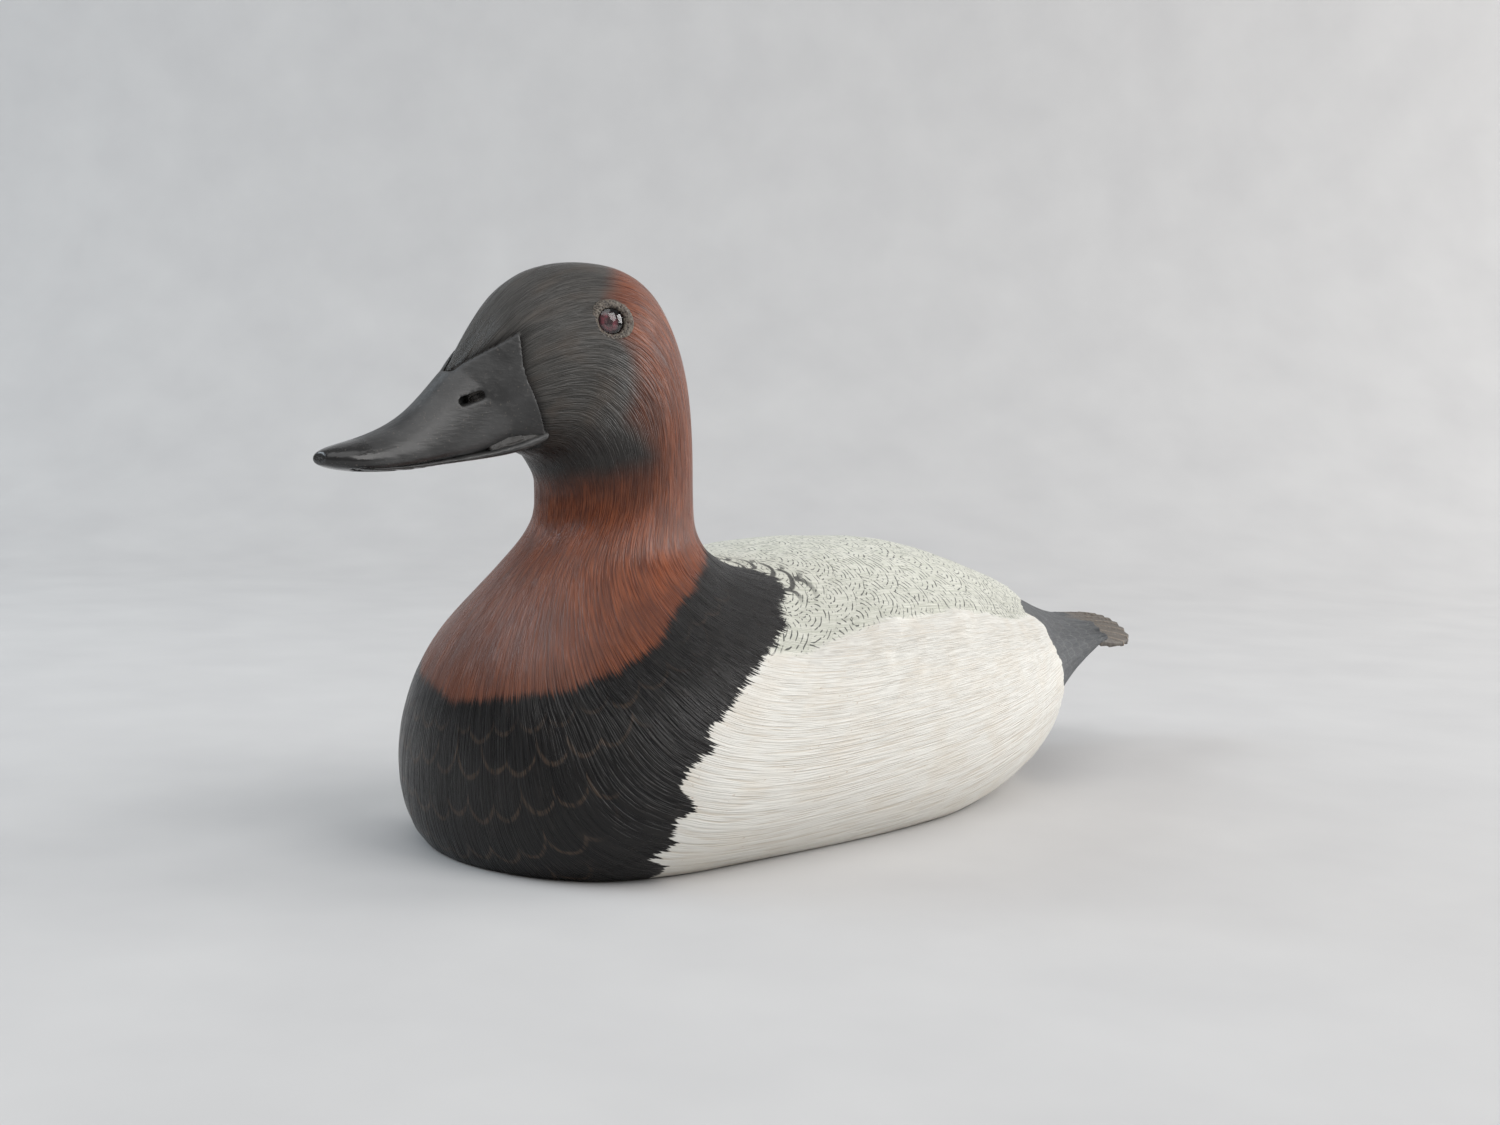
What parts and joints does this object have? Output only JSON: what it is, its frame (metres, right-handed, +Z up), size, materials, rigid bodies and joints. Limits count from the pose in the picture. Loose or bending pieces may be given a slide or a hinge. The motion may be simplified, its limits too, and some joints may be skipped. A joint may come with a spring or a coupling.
{
  "type": "floating duck decoy",
  "caption": "Hollow carved wooden drake decoy with a flat bottom board, glass eyes, let-in tail, ballast pad and a swinging anchor-line ring.",
  "frame": {"origin": "middle of the flat bottom board's underside, on the bird's centre plane, where it rests", "axes": "+Z up, the bill points along -Y and the tail along +Y, +X is the bird's left side"},
  "size_m": [0.1444, 0.3865, 0.1795],
  "materials": {
    "painted_body": "burned feather texture under oil paint, satin; black breast, pale grey back, cream sides, dark rump",
    "painted_head": "burned feather texture under oil paint, satin; chestnut with a brown-black face",
    "bill_paint": "smooth slate-black paint, satin to gloss",
    "tail_paint": "burned feather texture under oil paint, satin; dark grey-brown with pale feather edges",
    "bare_wood": "sanded bare hardwood",
    "eye_glass": "polished clear glass",
    "iris_enamel": "deep red enamel with a black pupil",
    "lid_putty": "stippled epoxy putty, painted",
    "zinc_steel": "bright zinc plate",
    "brass": "dulled brass",
    "lead": "cast lead, dull grey"
  },
  "bodies": {
    "carving": {"body_upper": "painted_body", "base_board": "painted_body", "head_block": "painted_head", "bill_upper": "bill_paint", "bill_lower": "bill_paint", "bill_dowel": "bare_wood", "left_eye_glass": "eye_glass", "right_eye_glass": "eye_glass", "left_eye_iris": "iris_enamel", "right_eye_iris": "iris_enamel", "left_eyelid": "lid_putty", "right_eyelid": "lid_putty", "neck_dowel": "bare_wood", "neck_screw": "zinc_steel", "neck_washer": "zinc_steel", "tail_insert": "tail_paint", "tail_pins": "brass", "body_pegs": "bare_wood", "base_screws": "brass", "screw_plugs": "bare_wood", "ballast_weight": "lead", "ballast_screws": "brass", "line_tie_staple": "brass"},
    "tie_ring": {"line_tie_ring": "brass"}
  },
  "joints": [
    {"name": "line_tie_swing", "type": "hinge", "parent": "carving", "child": "tie_ring", "pos_m": [0, -0.096, 0.00425], "axis": [-1, 0, 0], "range_deg": [0, 105]}
  ]
}
